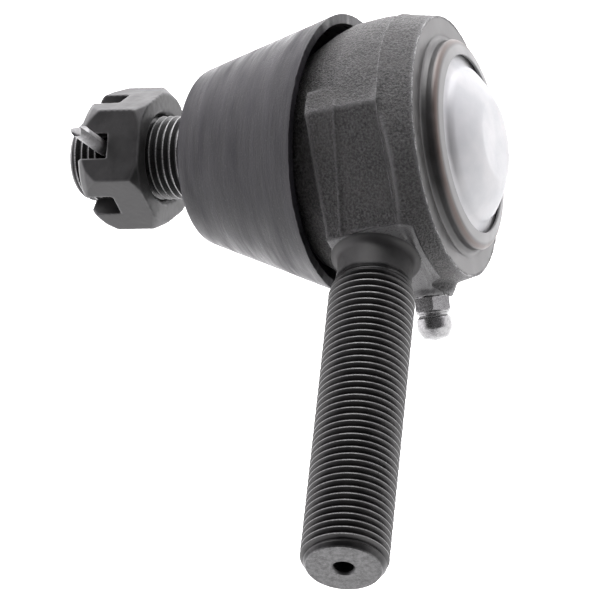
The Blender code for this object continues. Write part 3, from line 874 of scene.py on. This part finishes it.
def make_fitting():
    """Hexagon, collar, grooved head and nose of the grease fitting."""
    outline = rounded([
        (0.75, 34.3, 0.05),
        (0.75, 34.85, 0.1),
        (1.15, 34.9, 0.15),
        (2.3, 34.55, 0.25),
        (3.28, 32.85, 0.3),
        (3.28, 30.95, 0.35),
        (2.75, 30.45, 0.2),
        (2.75, 30.15, 0.15),
        (3.15, 30.05, 0.15),
        (3.15, 29.6, 0.15),
        (2.6, 29.5, 0.1),
        (2.6, 27.4, 0.1),
        (3.0, FITTING_SEAT + 0.3, 0.1),
        (3.0, 21.2, 0.2),
        (0.8, 20.9, 0.1),
        (0.8, 23.6, 0.1),
        (1.45, 23.8, 0.1),
        (1.45, 33.5, 0.2),
    ])
    core = solid("grease_nipple", lathe(outline, 96, closed=True), FITTING)
    hexagon = polygon(6, FITTING_FLATS / sqrt(3), radians(10))
    flats = solid("flats", prism(hexagon, FITTING_SEAT + 0.2, 29.65), FITTING)
    chamfers = [(0, 30), (2.9, 30), (4.1, 29.1), (4.1, 27.5), (3.1, FITTING_SEAT), (0, FITTING_SEAT)]
    cone = solid("cone", lathe(chamfers, 96), FITTING)
    core_hole = solid("core_hole", prism(polygon(64, 2.3), 25, 32), FITTING)
    carve(flats, "INTERSECT", cone)
    carve(flats, "DIFFERENCE", core_hole)
    settle(flats)
    carve(core, "UNION", flats)
    settle(core)
    bevel = core.modifiers.new("soft_edges", "BEVEL")
    bevel.width = 0.08 * MM
    bevel.segments = 2
    bevel.limit_method = "ANGLE"
    bevel.angle_limit = radians(25)
    settle(core)
    look = bright_look("fitting_zinc", FITTING, 0.36, 0.14, 0.35)
    place_piece(core, look, "socket", "fitting_zinc", "grease_fitting")


# ---------------------------------------------------------------- stud side

def make_boot():
    """The tapered rubber boot, softly rounded at the small end and ragged where it was cut."""
    wall_top = BOOT_TOP - 2.8
    inner_rim = BOOT_RIM_R - BOOT_WALL
    outline = rounded([
        (8.75, BOOT_TOP, 0.3),
        (BOOT_TOP_R - 0.2, BOOT_TOP, 1.5),
        (BOOT_RIM_R, BOOT_RIM, 0.12),
        (inner_rim, BOOT_RIM, 0.12),
        (inner_rim - BOOT_SLOPE * (wall_top - BOOT_RIM), wall_top, 1.0),
        (8.75, wall_top, 0.3),
    ], count=6)
    piece = solid("boot_skin", lathe(divided(outline, 0.9), 256, closed=True), STUD)
    local = STUD.inverted()
    for vertex in piece.data.vertices:
        at = local @ vertex.co
        ragged = max(0.0, 1 - (at.z - BOOT_RIM) / 0.8)
        round_it = Vector((at.x, at.y, 0)).normalized()
        wave = 0.06 * noise.noise(Vector((at.x, at.y, at.z)) / 7)
        at += round_it * wave
        at.z += 0.10 * ragged * noise.noise(round_it * 60) + 0.10 * ragged * noise.noise(round_it * 17)
        vertex.co = STUD @ at
    start = STUD @ Vector((0, 0, BOOT_RIM + 2))
    end = STUD @ Vector((0, 0, BOOT_TOP - 4))
    place_piece(piece, rubber_look(), ("race", "boot", start, end), "boot_rubber", "dust_boot")


def make_stud():
    """The ball, the stud's taper and its thread, drilled for the cotter pin."""
    neck_r = 6.5
    start = BOOT_TOP - 0.6
    ball = arc(BALL_R, 180 - np.degrees(asin(neck_r / BALL_R)), np.degrees(acos(10.0 / BALL_R)), 40)
    lower = [(0, -10.0)] + ball[::-1] + rounded([
        (neck_r, 13.4, 0),
        (neck_r + 0.8, 15.2, 0.8),
        (9.2, 18.3, 0.3),
        (9.6, 19.5, 0.6),
        (8.35, 40.0, 0.3),
        (STUD_THREAD_R, start, 0),
        (0, start),
    ])[1:-1]
    tip_r = 6.7
    tip = [
        (tip_r, STUD_END),
        (tip_r - 0.3, STUD_END + 0.08),
        (2.2, STUD_END + 0.08),
        (1.9, STUD_END - 0.1),
        (0, STUD_END - 1.1),
    ]
    rod = thread(STUD_THREAD_R, start, STUD_END, 1.2, tip_r)
    shape = merged(lathe(lower, 128), rod, lathe(tip, 128))
    piece = solid("stud_threaded", shape, STUD)
    across = local_frame((0, 0, 0), COTTER.to_3x3() @ Vector((1, 0, 0)), STUD_AXIS)
    across.translation = COTTER.translation
    carve(piece, "DIFFERENCE", solid("cotter_hole", prism(polygon(48, 1.9), -12, 12), across))
    settle(piece)
    place_piece(piece, stud_look(), "stud", "stud_black", "ball_stud", sharp=28)


def make_nut():
    """A castle nut with domed castle side, chamfered bearing side and three slots across it."""
    hexagon = polygon(6, NUT_FLATS / sqrt(3), radians(35))
    nut = solid("castle_nut_body", prism(hexagon, NUT_BASE - 1, NUT_TOP + 1), STUD)
    envelope = solid("nut_envelope", lathe([
        (0, NUT_TOP),
        (10.9, NUT_TOP),
        (11.8, NUT_TOP - 0.7),
        (12.8, NUT_TOP - 2.1),
        (13.6, NUT_TOP - 4.0),
        (14.2, NUT_TOP - 6.2),
        (14.2, NUT_BASE + 2.0),
        (12.2, NUT_BASE),
        (0, NUT_BASE),
    ]), STUD)
    bore = solid("nut_bore", lathe([
        (0, NUT_TOP + 1),
        (9.0, NUT_TOP + 1),
        (8.0, NUT_TOP - 0.8),
        (8.0, NUT_BASE + 0.9),
        (9.2, NUT_BASE - 0.3),
        (9.2, NUT_BASE - 1),
        (0, NUT_BASE - 1),
    ]), STUD)
    slot = prism(rectangle(-20, 20, -SLOT_WIDTH / 2, SLOT_WIDTH / 2), SLOT_FLOOR, NUT_TOP + 2)
    slots = []
    for index in range(3):
        turn = STUD @ Matrix.Rotation(COTTER_ANGLE + index * pi / 3, 4, "Z")
        slots.append(solid(f"slot_{index}", slot, turn))
    carve(nut, "INTERSECT", envelope)
    carve(nut, "DIFFERENCE", bore, *slots)
    settle(nut)
    remesh(nut, 0.19)
    store_points(nut.data, relaxed(nut.data, 5))
    mark_edges(nut.data, 10, 0.08)
    points = points_of(nut.data)
    lump = 0.05 * noise_at(points, 5.0, 6) + 0.012 * noise_at(points, 0.8, 7)
    store_points(nut.data, points + vertex_normals(nut.data) * lump[:, None])
    look = black_steel_look("nut_black", STUD)
    place_piece(nut, look, "stud", "nut_black", "castle_nut", sharp=180)


def cotter_path():
    """(along the pin, across it, inward normal) down the long leg, round the eye and back up."""
    eye, eye_r = -15.6, 1.9
    reach, short = 20.3, 17.4

    def drift(t):
        return 0.35 + 0.11 * max(t - 8, 0)

    path = [(t, drift(t) - 0.02, (0, 1)) for t in np.linspace(reach, -11.6, 34)]
    path += [(-12.4, 0.2, (-0.25, 0.97)), (-13.2, -0.35, (-0.5, 0.86))]
    for angle in np.radians(np.linspace(-55, -305, 28)):
        path.append((eye + eye_r * cos(angle), eye_r * sin(angle), (-cos(angle), -sin(angle))))
    path += [(-13.2, 0.95, (-0.5, -0.86)), (-12.4, 0.5, (-0.25, -0.97))]
    path += [(t, drift(t) + 0.02, (0, -1)) for t in np.linspace(-11.6, short, 32)]
    return path


def make_cotter():
    """Half-round wire doubled back on itself, with its ends sheared at an angle."""
    half = np.radians(np.linspace(0, 180, 13))
    verts = []
    path = cotter_path()
    last = len(path) - 1
    for index, (along, across, inward) in enumerate(path):
        for angle in half:
            wide, out = COTTER_R * cos(angle), COTTER_R * sin(angle)
            t = along - inward[0] * out
            u = across - inward[1] * out
            if index == 0:
                t -= 1.5 * sin(angle) + 0.55 * cos(angle)
            if index == last:
                t -= 0.5 * sin(angle) - 0.4 * cos(angle)
            wobble = 0.03 * noise.noise(Vector((t, u, wide)) / 0.9)
            verts.append((t, u + wobble, wide + wobble))
    count = len(half)
    faces = []
    for row in range(0, last * count, count):
        for i in range(count):
            j = (i + 1) % count
            faces.append([row + i, row + j, row + count + j, row + count + i])
    faces += [list(range(count)), list(range(last * count, (last + 1) * count))]
    piece = solid("cotter_wire", (verts, faces), COTTER)
    look = bright_look("cotter_galvanised", COTTER, 0.50, 0.34, 0.6, metallic=0.35)
    place_piece(piece, look, "stud", "cotter_galvanised", "cotter_pin")


# ---------------------------------------------------------------- scene

def dress_inner_parts():
    """The parts inside keep their CAD shapes."""
    spring = spring_look()
    looks = {
        "preload_disc_spring": spring,
        "fitting_check_ball": spring,
        "fitting_check_spring": spring,
        "upper_bearing": sintered_look(),
        "boot_seat_ring": nylon_look(),
    }
    looks["lower_bearing"] = looks["upper_bearing"]
    for name, look in looks.items():
        node = frame["nodes"][name]
        for slot in node.material_slots:
            slot.material = look


# From the point looked at to the viewer, and the viewer's right, in the row frame.
VIEW_BACK = Vector((0.58566, 0.32974, 0.74045))
VIEW_RIGHT = Vector((-0.09238, 0.93471, -0.34318))
VIEW_TARGET = Vector((0.0270, -0.0376, -0.0046))
VIEW_DISTANCE = 0.978
LENS, SENSOR = 319.4, 36


def make_camera():
    data = bpy.data.cameras.new("camera")
    data.sensor_width = SENSOR
    data.lens = LENS
    data.clip_start = 0.05
    data.clip_end = 20
    camera = bpy.data.objects.new("camera", data)
    bpy.context.scene.collection.objects.link(camera)
    back = VIEW_BACK.normalized()
    right = (VIEW_RIGHT - back * back.dot(VIEW_RIGHT)).normalized()
    turn = Matrix((right, back.cross(right), back)).transposed().to_4x4()
    camera.matrix_world = Matrix.Translation(VIEW_TARGET + back * VIEW_DISTANCE) @ turn
    bpy.context.scene.camera = camera


def make_floor():
    """A plain white floor, far enough down that no shadow gathers under the object."""
    size, drop = 4.0, 0.09
    corners = [(-size, -size, -drop), (size, -size, -drop), (size, size, -drop), (-size, size, -drop)]
    floor = solid("floor", (corners, [(0, 1, 2, 3)]), Matrix.Identity(4))
    look = Look("floor_white", Emission_Color=(1, 1, 1, 1), Emission_Strength=0.9)
    cloud = look.noise(300, 2)
    colour = look.blend(cloud, grey(0.88), grey(0.92))
    floor.data.materials.append(look.surface(colour, look.span(cloud, 0, 1, 0.85, 0.95)))


def make_overhead():
    """A broad soft lamp above the object as the viewer sees it."""
    up = VIEW_BACK.cross(VIEW_RIGHT).normalized()
    reach, size = 0.6, 0.5
    data = bpy.data.lights.new("overhead", "AREA")
    data.size = size
    data.energy = 3.6
    lamp = bpy.data.objects.new("overhead", data)
    bpy.context.scene.collection.objects.link(lamp)
    aim = up.to_track_quat("Z", "Y").to_matrix().to_4x4()
    lamp.matrix_world = Matrix.Translation(VIEW_TARGET + up * reach) @ aim


def make_tent():
    """Soft light from all round, as in a white tent with a dark opening on the viewing side."""
    tent_light, opening_light = 2.7, 0.13
    world = bpy.data.worlds.new("tent")
    world.use_nodes = True
    bpy.context.scene.world = world
    tree = world.node_tree
    background = tree.nodes["Background"]
    coords = tree.nodes.new("ShaderNodeTexCoord")
    unit = tree.nodes.new("ShaderNodeVectorMath")
    unit.operation = "NORMALIZE"
    tree.links.new(coords.outputs["Generated"], unit.inputs[0])
    facing = tree.nodes.new("ShaderNodeVectorMath")
    facing.operation = "DOT_PRODUCT"
    tree.links.new(unit.outputs[0], facing.inputs[0])
    facing.inputs[1].default_value = VIEW_BACK.normalized()
    opening = tree.nodes.new("ShaderNodeMapRange")
    opening.interpolation_type = "SMOOTHSTEP"
    tree.links.new(facing.outputs["Value"], opening.inputs["Value"])
    opening.inputs["From Min"].default_value = cos(radians(95))
    opening.inputs["From Max"].default_value = cos(radians(40))
    opening.inputs["To Min"].default_value = tent_light
    opening.inputs["To Max"].default_value = opening_light
    tree.links.new(opening.outputs["Result"], background.inputs["Strength"])
    background.inputs["Color"].default_value = (1, 0.97, 1.015, 1)


make_forging()
make_turned_end()
make_shank()
make_plug()
make_fitting()
make_boot()
make_stud()
make_nut()
make_cotter()
dress_inner_parts()
make_camera()
make_floor()
make_overhead()
make_tent()
bpy.context.scene.view_settings.view_transform = "Standard"
